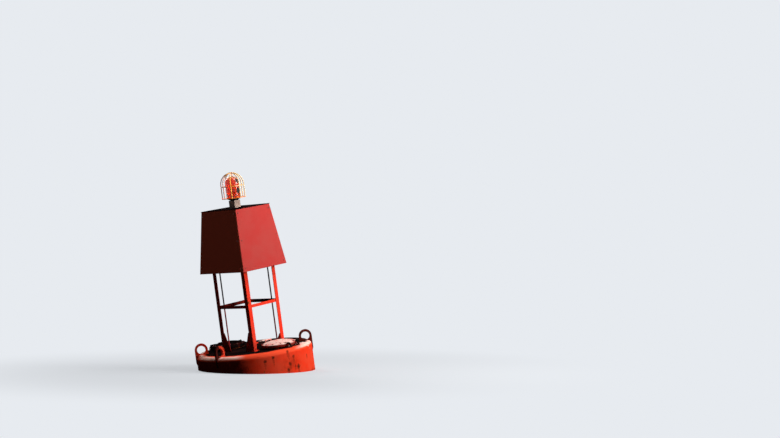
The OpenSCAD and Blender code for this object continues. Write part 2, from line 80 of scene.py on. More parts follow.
# The floor reaches in under the hull's side by FLOOR_LAP, and fades between two distances from the axis.
FLOOR_COLOUR = (0.5, 0.52, 0.545)
FLOOR_R = 60
FLOOR_LAP = 0.02
FLOOR_FADE = (1.5, 5)
FLOOR_RINGS = 16
FLOOR_SIDES = 160

# Sizes that no box of the frame gives, as they are in the part.
ROOF_LIP = 0.004
PANEL_EDGE = 0.004
SHOULDER_H = 0.06
POCKET_AZIMUTHS = {"front": 320, "rear": 140}
POCKET_R = 0.43
POCKET_FLANGE_R = 0.208
LID_R = 0.228
LID_RISE = 0.055
LID_CROWN = 0.04

# Main sizes, read from the frame.
DECK_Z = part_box("foot_plates")[0].z
HULL_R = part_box("hull")[1].x
SEAM_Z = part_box("hull_bottom")[1].z
RING_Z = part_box("ring_brace")[0].z
RING_TOP_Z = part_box("ring_brace")[1].z
RING_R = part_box("ring_brace")[1].x
MARK_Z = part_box("mark_frame")[0].z
MARK_TOP_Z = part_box("roof_plate")[0].z
MARK_BOTTOM_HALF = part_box("panel_right_front")[1].x / math.sqrt(2) + PANEL_EDGE / 2
MARK_TOP_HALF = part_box("roof_plate")[1].x / math.sqrt(2) - ROOF_LIP
LENS_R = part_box("lens")[1].x
LENS_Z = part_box("lens")[0].z
LENS_TOP_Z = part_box("lens")[1].z
SHOULDER_Z = DECK_Z - SHOULDER_H
LID_EDGE_Z = DECK_Z + LID_RISE


def face_turn(azimuth):
    """Turn about Z that brings +X to the azimuth, in degrees."""
    return Matrix.Rotation(math.radians(azimuth), 4, "Z")


def pocket_centre(end):
    """Centre of the front or the rear pocket, at the waterline's height."""
    return face_turn(POCKET_AZIMUTHS[end]) @ Vector((POCKET_R, 0, 0))


def ring_point(radius, angle, height=0.0):
    """Point at an angle in radians round the axis."""
    return Vector((radius * math.cos(angle), radius * math.sin(angle), height))


def ring_angles(count):
    """Angles that share out a full turn."""
    return [2 * math.pi * i / count for i in range(count)]


# View

def heel_turn():
    """Turn from the buoy's axes to the view's axes: heading first, then the lean and the heel."""
    heading = Matrix.Rotation(HEADING, 3, "Z")
    lean = Matrix.Rotation(LEAN_NEAR, 3, "X")
    heel = Matrix.Rotation(-HEEL_LEFT, 3, "Y")
    return heel @ lean @ heading


TO_BUOY = heel_turn().transposed()


def make_camera():
    """Camera at the photograph's eye, tilted to its horizon."""
    data = bpy.data.cameras.new("camera")
    data.sensor_width = SENSOR_W
    data.lens = FOCAL_PX / IMAGE_W * SENSOR_W
    data.clip_end = 200
    camera = bpy.data.objects.new("camera", data)
    bpy.context.scene.collection.objects.link(camera)
    tilt = math.atan((HORIZON_Y - IMAGE_H / 2) / FOCAL_PX)
    right = TO_BUOY @ Vector((1, 0, 0))
    away = TO_BUOY @ Vector((0, math.cos(tilt), math.sin(tilt)))
    up = TO_BUOY @ Vector((0, -math.sin(tilt), math.cos(tilt)))
    turn = Matrix((right, up, -away)).transposed().to_4x4()
    place = TO_BUOY @ -DECK_FROM_EYE + Vector((0, 0, DECK_Z))
    camera.matrix_world = Matrix.Translation(place) @ turn
    bpy.context.scene.camera = camera


def make_lamp(name, azimuth, elevation, distance, size, power, colour, aim_z):
    """Round area lamp aimed at the buoy's axis. The angles are in degrees."""
    data = bpy.data.lights.new(name, "AREA")
    data.shape = "DISK"
    data.size = size
    data.energy = power
    data.color = colour
    lamp = bpy.data.objects.new(name, data)
    bpy.context.scene.collection.objects.link(lamp)
    rise = math.radians(elevation)
    direction = TO_BUOY @ ring_point(math.cos(rise), math.radians(azimuth), math.sin(rise))
    lamp.location = Vector((0, 0, aim_z)) + direction * distance
    lamp.rotation_mode = "QUATERNION"
    lamp.rotation_quaternion = direction.to_track_quat("Z", "Y")


def make_world():
    """Faint light from all round, and a pale backdrop to look at, which glass and reflections show too."""
    world = bpy.data.worlds.new("studio")
    bpy.context.scene.world = world
    world.use_nodes = True
    tree = world.node_tree
    tree.nodes.clear()
    ambient = tree.nodes.new("ShaderNodeBackground")
    ambient.inputs["Color"].default_value = AMBIENT_COLOUR
    ambient.inputs["Strength"].default_value = AMBIENT
    shown = tree.nodes.new("ShaderNodeBackground")
    shown.inputs["Color"].default_value = BACKDROP
    shown.inputs["Strength"].default_value = 1
    path = tree.nodes.new("ShaderNodeLightPath")
    seen = path.outputs["Is Camera Ray"]
    for ray in ("Is Glossy Ray", "Is Transmission Ray"):
        either = tree.nodes.new("ShaderNodeMath")
        either.operation = "MAXIMUM"
        tree.links.new(seen, either.inputs[0])
        tree.links.new(path.outputs[ray], either.inputs[1])
        seen = either.outputs[0]
    mix = tree.nodes.new("ShaderNodeMixShader")
    tree.links.new(seen, mix.inputs["Fac"])
    tree.links.new(ambient.outputs[0], mix.inputs[1])
    tree.links.new(shown.outputs[0], mix.inputs[2])
    output = tree.nodes.new("ShaderNodeOutputWorld")
    tree.links.new(mix.outputs[0], output.inputs["Surface"])


# Materials

# Places of a Mix node's sockets for each kind of value: its two inputs and its output.
MIX_NUMBERS = (2, 3, 0)
MIX_COLOURS = (6, 7, 2)


class Finish:
    """A node material that is built in layers on one Principled shader."""

    def __init__(self, name, colour, roughness, metallic=0.0, specular=0.5):
        self.material = bpy.data.materials.new(name)
        self.material.use_nodes = True
        self.tree = self.material.node_tree
        self.shader = self.tree.nodes["Principled BSDF"]
        self.shader.inputs["Metallic"].default_value = metallic
        self.shader.inputs["Specular IOR Level"].default_value = specular
        self.place = self.tree.nodes.new("ShaderNodeTexCoord").outputs["Object"]
        axes = self.tree.nodes.new("ShaderNodeSeparateXYZ")
        self.tree.links.new(self.place, axes.inputs[0])
        self.x, self.y, self.z = axes.outputs
        self.colour = (*colour, 1)
        self.roughness = roughness
        self.height = None

    def plug(self, source, socket):
        """Puts a number, a colour or another node's output into a socket."""
        if isinstance(source, bpy.types.NodeSocket):
            self.tree.links.new(source, socket)
        else:
            socket.default_value = source

    def maths(self, operation, a, b=0.0):
        """Result of a sum on one or two values."""
        node = self.tree.nodes.new("ShaderNodeMath")
        node.operation = operation
        self.plug(a, node.inputs[0])
        self.plug(b, node.inputs[1])
        return node.outputs[0]

    def both(self, *masks):
        """Mask of the places that are in all of the masks."""
        result = masks[0]
        for mask in masks[1:]:
            result = self.maths("MULTIPLY", result, mask)
        return result

    def mapped(self, stretch, shift):
        """The place on the object, scaled along each axis and then shifted."""
        mapping = self.tree.nodes.new("ShaderNodeMapping")
        mapping.inputs["Location"].default_value = shift
        mapping.inputs["Scale"].default_value = stretch
        self.tree.links.new(self.place, mapping.inputs["Vector"])
        return mapping.outputs[0]

    def noise(self, scale, detail=5.0, rough=0.6, stretch=(1, 1, 1), shift=(0, 0, 0)):
        """Noise from 0 to 1. scale is in cells a metre, and stretch multiplies it along each axis."""
        node = self.tree.nodes.new("ShaderNodeTexNoise")
        node.inputs["Scale"].default_value = scale
        node.inputs["Detail"].default_value = detail
        node.inputs["Roughness"].default_value = rough
        self.tree.links.new(self.mapped(stretch, shift), node.inputs["Vector"])
        return node.outputs["Fac"]

    def distance(self, point, stretch=(1, 1, 1)):
        """Distance from a point, with each axis scaled."""
        node = self.tree.nodes.new("ShaderNodeVectorMath")
        node.operation = "LENGTH"
        shift = [-p * s for p, s in zip(point, stretch)]
        self.tree.links.new(self.mapped(stretch, shift), node.inputs[0])
        return node.outputs["Value"]

    def ramp(self, value, low, high, to_low=0.0, to_high=1.0):
        """Smooth step of a value from low to high."""
        node = self.tree.nodes.new("ShaderNodeMapRange")
        node.interpolation_type = "SMOOTHSTEP"
        limits = {"From Min": low, "From Max": high, "To Min": to_low, "To Max": to_high}
        for name, number in limits.items():
            node.inputs[name].default_value = number
        self.plug(value, node.inputs["Value"])
        return node.outputs[0]

    def stray(self, noise, low, high, reach):
        """Offset that follows a noise, from -reach to reach."""
        return self.ramp(noise, low, high, -reach, reach)

    def mix(self, mask, under, over, kind, sockets):
        """Goes from one value to another by a mask."""
        node = self.tree.nodes.new("ShaderNodeMix")
        node.data_type = kind
        first, second, result = sockets
        self.plug(mask, node.inputs[0])
        self.plug(under, node.inputs[first])
        self.plug(over, node.inputs[second])
        return node.outputs[result]

    def lay(self, mask, colour=None, roughness=None, rise=0.0):
        """Lays a coat over what is there, where the mask is 1. rise is the coat's thickness in metres."""
        if colour is not None:
            self.colour = self.mix(mask, self.colour, (*colour, 1), "RGBA", MIX_COLOURS)
        if roughness is not None:
            self.roughness = self.mix(mask, self.roughness, roughness, "FLOAT", MIX_NUMBERS)
        if rise:
            coat = self.maths("MULTIPLY", mask, rise)
            self.height = coat if self.height is None else self.maths("ADD", self.height, coat)

    def done(self):
        """Plugs the layers into the shader and gives the material."""
        self.plug(self.colour, self.shader.inputs["Base Color"])
        self.plug(self.roughness, self.shader.inputs["Roughness"])
        if self.height is not None:
            bump = self.tree.nodes.new("ShaderNodeBump")
            bump.inputs["Distance"].default_value = 1
            self.tree.links.new(self.height, bump.inputs["Height"])
            self.tree.links.new(bump.outputs[0], self.shader.inputs["Normal"])
        return self.material


RUST_DARK = (0.045, 0.014, 0.007)
RUST_ORANGE = (0.28, 0.07, 0.018)
# near black, for real grime and for painted shade
GRIME_AND_SHADE = (0.008, 0.005, 0.005)
GUANO = (1, 0.66, 0.58)
# pale pink of the painted sheen on the hull's shoulder
SHEEN_PINK = (1, 0.58, 0.48)
# dark red of the painted shade on the hull's left side
SHADE_RED = (0.12, 0.01, 0.006)
SEA_RED = (0.16, 0.024, 0.016)

# The painted shade on the left side of the tower and the daymark starts at their near corner, over this stretch
# of X.
SHADE_SIDE_X = (0.004, -0.001)


def rusted(finish, share, scale=9.0):
    """Rust in patches. share is about the part of the surface that it takes."""
    patch = finish.noise(scale, 9, 0.68)
    edge = 0.66 - share
    finish.lay(finish.ramp(patch, edge, edge + 0.05), RUST_ORANGE, 0.85, 0.0003)
    finish.lay(finish.ramp(patch, edge + 0.04, edge + 0.1), RUST_DARK, 0.9, 0.0004)


def painted(name, colour, faded, rust=0.06, streak=0.5, roughness=0.42):
    """Old brushed paint without shine: faded in patches, with dirt runs, fine grain and some rust."""
    finish = Finish(name, colour, roughness, specular=0.0)
    finish.lay(finish.ramp(finish.noise(3.5, 6), 0.38, 0.66), faded, roughness + 0.14)
    runs = finish.noise(1, 6, 0.62, stretch=(26, 26, 1.6))
    dark = tuple(c * 0.45 for c in colour)
    finish.lay(finish.ramp(runs, 0.56, 0.78, 0, streak), dark, roughness + 0.2)
    finish.lay(finish.noise(140, 3), rise=0.00035)
    finish.lay(finish.noise(18, 4), rise=0.0012)
    if rust:
        rusted(finish, rust)
    return finish


# Rust spots on the hull's side: azimuth in degrees, height above the waterline and size in metres.
HULL_SPOTS = [
    (287.5, 0.231, 0.022), (279.0, 0.191, 0.024), (310.0, 0.191, 0.019), (305.0, 0.107, 0.024),
    (315.0, 0.047, 0.03), (302.5, 0.031, 0.026), (311.0, 0.063, 0.014), (304.0, 0.278, 0.026),
    (331.0, 0.155, 0.012), (12.0, 0.115, 0.02), (48.0, 0.185, 0.016), (83.0, 0.065, 0.024),
    (121.0, 0.145, 0.014), (166.0, 0.085, 0.022), (205.0, 0.125, 0.014), (243.0, 0.155, 0.012),
]
STAIN_PLACE = (0.45, -0.61, 0.09)
STAIN_R = 0.2
# Droppings on the deck: x, y and radius.
GUANO_SPOTS = [(0.64, -0.22, 0.07), (0.16, 0.6, 0.08)]
# The deck's grime lies off the axis, so that the rubbed rim round it is widest by the front eye.
GRIMY_CENTRE = (0.03, 0.065, 0)
GRIMY_R = 0.7
BOOT_TOP_Z = -0.13


def lay_shaded_side(finish, patch_noise):
    """Painted shade, patchy like grime, on the side that looks away from the front lid."""
    wander = finish.stray(finish.noise(6, 7, 0.7, shift=(0, 0, 4)), 0.3, 0.7, 0.09)
    across = finish.maths("ADD", finish.x, wander)
    # painted shade on the hull's left side, in patches
    painted_shade = finish.both(finish.ramp(across, -0.05, -0.3), finish.ramp(patch_noise, 0.25, 0.5, 0.6, 0.92))
    finish.lay(painted_shade, SHADE_RED, 0.7)


def lay_shoulder_highlight(finish, patch_noise):
    """Shoulder with a patchy painted highlight, and a pink painted sheen on its crest towards the lifting eyes.
    """
    shoulder = finish.ramp(finish.z, DECK_Z - 0.055, DECK_Z - 0.03)
    # brighter red in patches: painted highlight on the shoulder
    finish.lay(finish.both(shoulder, finish.ramp(patch_noise, 0.2, 0.45, 0.3, 1)), (1, 0.09, 0.035), 0.5)
    from_middle = finish.maths("ABSOLUTE", finish.maths("SUBTRACT", finish.x, 0.2))
    pink_sheen = finish.both(finish.ramp(from_middle, 0.3, 0.46), finish.ramp(patch_noise, 0.3, 0.5, 0.35, 1))
    rim = finish.ramp(finish.distance((0, 0, 0), (1, 1, 0)), HULL_R - 0.11, HULL_R - 0.07)
    crest = finish.ramp(finish.z, DECK_Z - 0.036, DECK_Z - 0.018)
    short_of_left_end = finish.ramp(finish.x, -0.74, -0.68)
    # pale pink painted sheen on the crest
    finish.lay(finish.both(crest, short_of_left_end, rim, pink_sheen), SHEEN_PINK, 0.6)


def lay_waterline(finish, patch_noise):
    """Dark scum above the water, and bottom paint with weed below it."""
    wave = finish.maths("ADD", finish.z, finish.stray(finish.noise(7, 5), 0.2, 0.8, 0.03))
    finish.lay(finish.ramp(wave, -0.02, -0.1, 0, 0.6), (0.2, 0.02, 0.01), 0.5)
    finish.lay(finish.ramp(wave, BOOT_TOP_Z + 0.012, BOOT_TOP_Z - 0.012), SEA_RED, 0.7)
    weed = finish.both(finish.ramp(wave, -0.06, -0.16), finish.ramp(patch_noise, 0.44, 0.6))
    finish.lay(weed, (0.035, 0.045, 0.018), 0.9, 0.002)


def lay_rust_spots(finish, patch_noise):
    """Spots of rust with a run below each, and a rusty stain where they crowd."""
    stain = finish.ramp(finish.distance(STAIN_PLACE, (1, 1, 1.4)), STAIN_R, STAIN_R * 0.3)
    finish.lay(finish.both(stain, finish.ramp(patch_noise, 0.35, 0.6, 0.1, 0.6)), (0.45, 0.03, 0.01), 0.75)
    warp = finish.stray(finish.noise(38, 5, 0.7), 0.1, 0.9, 0.016)
    for azimuth, height, size in HULL_SPOTS:
        spot_place = ring_point(HULL_R, math.radians(azimuth), height)
        run_place = spot_place - Vector((0, 0, size * 2.2))
        run = finish.maths("ADD", finish.distance(run_place, (1, 1, 0.3)), warp)
        finish.lay(finish.ramp(run, size * 0.9, size * 0.3, 0, 0.55), (0.3, 0.03, 0.01), 0.7)
        spot = finish.maths("ADD", finish.distance(spot_place), warp)
        finish.lay(finish.ramp(spot, size * 1.25, size * 0.45, 0, 0.85), (0.15, 0.02, 0.008), 0.9, 0.0006)
        finish.lay(finish.ramp(spot, size * 0.6, size * 0.1, 0, 0.8), RUST_DARK, 0.9)


def lay_deck(finish):
    """Deck near black with painted shade and grime, rubbed in patches, with droppings near its edge."""
    wander = finish.stray(finish.noise(6, 6), 0.3, 0.7, 0.025)
    out = finish.maths("ADD", finish.distance(GRIMY_CENTRE, (1, 1, 0)), wander)
    flat = finish.ramp(finish.z, DECK_Z - 0.02, DECK_Z - 0.006)
    middle = finish.both(finish.ramp(out, GRIMY_R, GRIMY_R - 0.03), flat)
    dirt_and_shade = finish.ramp(finish.noise(5, 7, 0.65), 0.24, 0.42, 0.86, 1)
    # near-black coat: painted shade together with grime
    finish.lay(finish.both(middle, dirt_and_shade), GRIME_AND_SHADE, 0.9)
    rubbed = finish.ramp(finish.noise(3.2, 8, 0.72, shift=(2, 5, 0)), 0.5, 0.68, 0, 0.6)
    finish.lay(finish.both(middle, rubbed), (0.04, 0.01, 0.008), 0.8)
    ragged = finish.stray(finish.noise(13, 8, 0.7), 0.2, 0.8, 0.1)
    for x, y, size in GUANO_SPOTS:
        far = finish.maths("ADD", finish.distance((x, y, DECK_Z), (1, 1, 0.6)), ragged)
        finish.lay(finish.ramp(far, size, size * 0.8, 0, 0.92), GUANO, 0.88, 0.0015)


def hull_paint():
    """Hull, in layers from its side up to its deck."""
    finish = painted("hull_paint", (0.93, 0.042, 0.012), (0.86, 0.065, 0.026), rust=0.02, streak=0.35)
    patch_noise = finish.noise(11, 7, 0.66)
    lay_shaded_side(finish, patch_noise)
    lay_shoulder_highlight(finish, patch_noise)
    lay_waterline(finish, patch_noise)
    lay_rust_spots(finish, patch_noise)
    lay_deck(finish)
    return finish.done()


def bottom_paint():
    """Bottom paint under weed and shells."""
    finish = painted("bottom_paint", (0.17, 0.028, 0.018), (0.12, 0.035, 0.024), streak=0.3, roughness=0.6)
    weed = finish.ramp(finish.noise(9, 8, 0.7), 0.44, 0.62)
    finish.lay(weed, (0.04, 0.045, 0.02), 0.92, 0.002)
    shells = finish.ramp(finish.noise(55, 2, 0.4), 0.66, 0.7)
    finish.lay(shells, (0.42, 0.4, 0.34), 0.8, 0.003)
    return finish.done()


def cast_ballast():
    """Rough cast iron with rust and weed."""
    finish = Finish("cast_ballast", (0.055, 0.045, 0.04), 0.75)
    finish.lay(finish.noise(60, 6, 0.7), rise=0.0022)
    rusted(finish, 0.14, 7)
    weed = finish.ramp(finish.noise(8, 7, 0.7, shift=(3, 1, 0)), 0.5, 0.66)
    finish.lay(weed, (0.05, 0.05, 0.026), 0.9, 0.001)
    return finish.done()


def eye_paint():
    """Lifting eyes. The right one is darkened with a dark rust colour; the front one has painted shade on its
    outer half.
    """
    finish = painted("eye_paint", (0.8, 0.035, 0.014), (0.66, 0.055, 0.025), rust=0.07, roughness=0.5)
    # the right eye is darkened with a dark rust colour
    finish.lay(finish.ramp(finish.x, 0.4, 0.5, 0, 0.85), RUST_DARK, 0.85)
    # painted shade on the front eye's outer half
    wander = finish.stray(finish.noise(24, 5), 0.3, 0.7, 0.01)
    out = finish.maths("ADD", finish.distance((0, 0, 0), (1, 1, 0)), wander)
    outer = finish.both(finish.ramp(out, 0.68, 0.71, 0, 0.92), finish.ramp(finish.y, -0.35, -0.4))
    finish.lay(outer, GRIME_AND_SHADE, 0.9)
    return finish.done()


def lid_paint():
    """Lids. The front one lies under a crust of droppings, and the rear one is near black with painted shade.
    """
    finish = painted("lid_paint", (0.5, 0.03, 0.016), (0.42, 0.06, 0.04), 0.05, 0.4, 0.5)
    rear = finish.ramp(finish.y, 0, 0.02)
    front = finish.ramp(finish.y, 0, -0.02)
    # painted shade darkens the rear lid
    finish.lay(finish.both(rear, finish.ramp(finish.noise(7, 8, 0.7), 0.3, 0.5, 0.86, 1)), GRIME_AND_SHADE, 0.85)
    over_edge = finish.ramp(finish.z, LID_EDGE_Z - 0.012, LID_EDGE_Z)
    top = finish.both(over_edge, front, finish.ramp(finish.x, 0.105, 0.135))
    finish.lay(top, (0.9, 0.13, 0.1), 0.7)
    crust = finish.ramp(finish.noise(8, 9, 0.74, shift=(1.3, 0, 0)), 0.36, 0.52)
    finish.lay(finish.both(top, crust, finish.ramp(finish.y, -0.1, -0.3, 0.5, 1)), GUANO, 0.9, 0.0018)
    bare = finish.ramp(finish.noise(13, 8, 0.75, shift=(0, 2.7, 0)), 0.56, 0.64, 0, 0.75)
    finish.lay(finish.both(top, bare), (0.62, 0.09, 0.06), 0.8, -0.0012)
    # the front lid's hinge arms are near black
    from_lid = finish.distance(pocket_centre("front"), (1, 1, 0))
    arms = finish.ramp(from_lid, LID_R - 0.004, LID_R + 0.004)
    finish.lay(finish.both(arms, front), GRIME_AND_SHADE, 0.7)
    return finish.done()


def pocket_paint():
    return painted("pocket_paint", (0.09, 0.02, 0.013), (0.06, 0.022, 0.016), 0.14, 0.4, 0.6).done()


def tower_paint():
    """Tower, dirty at its foot, with painted shade on its left side, and near black inside its ring but by the
    far leg.
    """
    finish = painted("tower_paint", (0.95, 0.04, 0.016), (0.88, 0.06, 0.03), 0.035, 0.4, 0.4)
    foot = finish.ramp(finish.z, DECK_Z + 0.2, DECK_Z)
    scuffs = finish.ramp(finish.noise(16, 7, 0.7), 0.4, 0.6, 0, 0.7)
    finish.lay(finish.both(foot, scuffs), (0.16, 0.02, 0.012), 0.75)
    # the inside of the ring is near black, except beside the far leg
    across = finish.maths("ADD", finish.maths("ABSOLUTE", finish.x), finish.maths("ABSOLUTE", finish.y))
    inside = finish.ramp(across, RING_R - 0.004, RING_R - 0.006)
    above_foot = finish.ramp(finish.z, RING_Z - 0.01, RING_Z)
    below_top = finish.ramp(finish.z, RING_TOP_Z + 0.01, RING_TOP_Z)
    not_far = finish.ramp(finish.y, 0.34, 0.3)
    finish.lay(finish.both(inside, above_foot, below_top, not_far), GRIME_AND_SHADE, 0.9)
    # painted shade on the tower's left side, in patches
    patch_noise = finish.ramp(finish.noise(8, 7, 0.66), 0.25, 0.5, 0.6, 0.88)
    finish.lay(finish.both(finish.ramp(finish.x, *SHADE_SIDE_X), patch_noise), (0.15, 0.011, 0.007), 0.7)
    return finish.done()


def vent_paint():
    """Vent pipes, darker above the ring."""
    finish = painted("vent_paint", (0.42, 0.02, 0.03), (0.3, 0.03, 0.04), 0.08, 0.4, 0.5)
    finish.lay(finish.ramp(finish.z, RING_Z - 0.03, RING_TOP_Z), (0.03, 0.018, 0.022), 0.7)
    return finish.done()


def daymark_paint():
    """Daymark: painted shade tints its left side browner and darkens its roof, thinner in patches; rust weeps
    down it.
    """
    finish = painted("daymark_paint", (0.5, 0.048, 0.042), (0.48, 0.06, 0.052), 0.0, 0.16, 0.52)
    # painted shade: the left side takes the browner tint of a shaded face
    finish.lay(finish.ramp(finish.x, *SHADE_SIDE_X), (0.56, 0.088, 0.045))
    weep = finish.noise(1, 7, 0.66, stretch=(30, 30, 2.2), shift=(0.4, 0.1, 0))
    finish.lay(finish.ramp(weep, 0.66, 0.8, 0, 0.4), (0.29, 0.038, 0.026), 0.7)
    # painted shade darkens the roof, thinner in patches
    roof = finish.ramp(finish.z, MARK_TOP_Z - 0.002, MARK_TOP_Z - 0.0005)
    finish.lay(roof, GRIME_AND_SHADE, 0.9)
    thin = finish.ramp(finish.noise(4.5, 8, 0.7, shift=(0, 3, 0)), 0.5, 0.7, 0, 0.6)
    finish.lay(finish.both(roof, thin), (0.06, 0.016, 0.014), 0.85)
    return finish.done()


def post_paint():
    return painted("post_paint", (0.46, 0.34, 0.28), (0.54, 0.42, 0.34), 0.03, 0.5, 0.5).done()


def base_paint():
    return painted("base_paint", (0.014, 0.014, 0.017), (0.03, 0.03, 0.034), 0.02, 0.3, 0.38).done()


def bare_metal(name, colour, tarnish, roughness, metallic=1.0):
    """Metal that is tarnished in patches."""
    finish = Finish(name, colour, roughness, metallic, 0.3)
    finish.lay(finish.ramp(finish.noise(22, 7, 0.65), 0.47, 0.72), tarnish, roughness + 0.25)
    finish.lay(finish.noise(160, 3), rise=0.0003)
    return finish


def pin_steel():
    return bare_metal("pin_steel", (0.42, 0.4, 0.37), (0.16, 0.08, 0.05), 0.45).done()


def changer_metal():
    return bare_metal("changer_metal", (0.62, 0.62, 0.6), (0.4, 0.4, 0.38), 0.35).done()


def head_ring_metal():
    return bare_metal("head_ring_metal", (0.85, 0.25, 0.04), (0.5, 0.12, 0.03), 0.5, 0.2).done()


def guard_brass():
    """Brass guard with painted light: brown shade on its left, a salmon sheen at its left edge and a pale
    highlight on its right.
    """
    finish = bare_metal("guard_brass", (1, 0.5, 0.08), (0.7, 0.24, 0.05), 0.45, 0.2)
    # painted shade in dull brown on the left side
    finish.lay(finish.ramp(finish.x, -0.03, -0.075, 0, 0.85), (0.3, 0.1, 0.02), 0.6)
    # painted salmon sheen at the left edge
    finish.lay(finish.ramp(finish.x, -0.085, -0.1, 0, 0.85), (0.9, 0.4, 0.28), 0.6)
    # painted pale highlight on the right side
    finish.lay(finish.ramp(finish.x, 0.03, 0.07, 0, 0.85), (0.95, 0.74, 0.38), 0.6)
    return finish.done()


# Painted shade on the lens, in two dark patches: their azimuth in degrees, and how high above its foot each is.
LENS_PATCH_AZIMUTH = -43
LENS_PATCH_HEIGHTS = (0.088, 0.228)


def lens_red():
    """Clear red plastic, with a pale painted highlight on its dome and two patches of painted shade seen
    through it.
    """
    finish = Finish("lens_red", (1, 0.17, 0.004), 0.14, 0.0, 0.3)
    finish.shader.inputs["IOR"].default_value = 1.49
    finish.shader.inputs["Transmission Weight"].default_value = 0.85
    finish.lay(finish.ramp(finish.noise(16, 5), 0.42, 0.7, 0, 0.6), (0.8, 0.06, 0.003), 0.3)
    # painted shade: dark patches where the lens's inside looks dark
    for height in LENS_PATCH_HEIGHTS:
        point = ring_point(LENS_R, math.radians(LENS_PATCH_AZIMUTH), LENS_Z + height)
        patch = finish.ramp(finish.distance(point, (1, 1, 0.6)), 0.03, 0.021)
        finish.lay(patch, (0.004, 0.001, 0.001), 0.8)
    # painted pale highlight on the top of the dome, in patches
    dome = finish.ramp(finish.z, LENS_TOP_Z - 0.05, LENS_TOP_Z - 0.01)
    dome_highlight = finish.ramp(finish.noise(30, 5, 0.7), 0.3, 0.6, 0.4, 0.9)
    finish.lay(finish.both(dome, dome_highlight), (0.95, 0.75, 0.5), 0.7)
    return finish.done()


def bolt_rust():
    """Rusty bolts, for the fasteners on paint."""
    finish = Finish("bolt_rust", (0.33, 0.05, 0.035), 0.6)
    finish.lay(finish.ramp(finish.noise(70, 4), 0.42, 0.6), RUST_DARK, 0.85, 0.0002)
    return finish.done()


# Each but the last is named after the material slot that it is for.
FINISHES = [
    hull_paint, bottom_paint, cast_ballast, eye_paint, pocket_paint, lid_paint, tower_paint, vent_paint,
    daymark_paint, post_paint, base_paint, lens_red, pin_steel, changer_metal, head_ring_metal, guard_brass,
    bolt_rust,
]


def dress_nodes(materials):
    """Gives each CAD node the finish of its slot."""
    for part in frame["record"]["subparts"]:
        slots = nodes[part["node"]].data.materials
        slots.clear()
        slots.append(materials[part["material_slot"]])


# Meshes

def mesh_from(builder, name, smooth_angle):
    """Mesh from a bmesh, with smooth shading across edges flatter than the angle, in degrees."""
    bmesh.ops.recalc_face_normals(builder, faces=builder.faces)
    limit = math.radians(smooth_angle)
    for face in builder.faces:
        face.smooth = True
    for edge in builder.edges:
        edge.smooth = len(edge.link_faces) == 2 and edge.calc_face_angle() < limit
    mesh = bpy.data.meshes.new(name)
    builder.to_mesh(mesh)
    builder.free()
    return mesh


def add_piece(name, builder, material, body, smooth_angle=35):
    """New piece from a bmesh, which rides on a body and takes a material slot."""
    piece = bpy.data.objects.new(name, mesh_from(builder, name, smooth_angle))
    bpy.context.scene.collection.objects.link(piece)
    piece.data.materials.append(material)
    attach(piece, body)
    return piece


def add_lathe(builder, outline, segments, turn=Matrix.Identity(4)):
    """Turns an outline of (radius, height) points about Z and closes it where the radius is 0."""
    rings = []
    for radius, height in outline:
        angles = ring_angles(segments) if radius > 0 else [0]
        rings.append([builder.verts.new(turn @ ring_point(radius, a, height)) for a in angles])
    for lower, upper in zip(rings, rings[1:]):
        for i in range(segments):
            j = (i + 1) % segments
            corners = [lower[i % len(lower)], lower[j % len(lower)]]
            corners += [upper[j % len(upper)], upper[i % len(upper)]]
            corners = list(dict.fromkeys(corners))
            if len(corners) > 2:
                builder.faces.new(corners)


# A bolt's washer, and its head's height as a share of the radius to the head's corners.
WASHER_H = 0.0016
WASHER_SIDES = 20
HEAD_SHARE = 0.62


def add_hex_bolt(builder, turn, size):
    """Hexagon head on a washer, standing along +Z of the turn. size is the radius to the head's corners."""
    washer_r = size * 1.08
    washer = [(0, 0), (washer_r, 0), (washer_r, WASHER_H), (0, WASHER_H)]
    add_lathe(builder, washer, WASHER_SIDES, turn)
    base = WASHER_H * 0.9
    head_h = size * HEAD_SHARE
    head = [(0, base), (size * 0.94, base), (size, base + 0.0006)]
    head += [(size, base + head_h * 0.86), (size * 0.88, base + head_h), (0, base + head_h)]
    add_lathe(builder, head, 6, turn)


def join_rings(builder, lower, upper):
    """Faces between two rings that have the same number of points."""
    count = len(lower)
    for k in range(count):
        m = (k + 1) % count
        builder.faces.new((lower[k], lower[m], upper[m], upper[k]))


def add_tube(builder, points, radius, sides, closed, ripple):
    """Tube along points. ripple is the share by which its radius rises and falls, as in a weld bead."""
    count = len(points)
    rings = []
    side_axis = None
    for i, point in enumerate(points):
        before = points[i - 1] if closed or i else points[i]
        after = points[(i + 1) % count] if closed or i < count - 1 else points[i]
        ahead = (after - before).normalized()
        if side_axis is None:
            side_axis = ahead.orthogonal().normalized()
        side_axis = (side_axis - ahead * side_axis.dot(ahead)).normalized()
        up_axis = ahead.cross(side_axis)
        r = radius * (1 + ripple * (1 if i % 2 else -1))
        rings.append([builder.verts.new(point + (side_axis * math.cos(a) + up_axis * math.sin(a)) * r)
                      for a in ring_angles(sides)])
    for lower, upper in zip(rings, rings[1:]):
        join_rings(builder, lower, upper)
    first, last = rings[0], rings[-1]
    if closed:
        offset = min(range(sides), key=lambda k: (last[0].co - first[k].co).length)
        join_rings(builder, last, first[offset:] + first[:offset])
    else:
        builder.faces.new(first[::-1])
        builder.faces.new(last)


def circle_points(radius, height, count, centre=Vector((0, 0, 0))):
    """Points of a level circle."""
    return [centre + ring_point(radius, a, height) for a in ring_angles(count)]


def line_points(start, end, step):
    """Points of a straight line, about a step apart."""
    count = max(2, int((end - start).length / step) + 1)
    return [start.lerp(end, i / (count - 1)) for i in range(count)]


# Daymark

PANEL_NAMES = {
    45: "panel_right_back",
    135: "panel_left_back",
    225: "panel_left_front",
    315: "panel_right_front",
}
PANEL_T = 0.003
PANEL_ACROSS_N = 22
PANEL_UP_N = 26
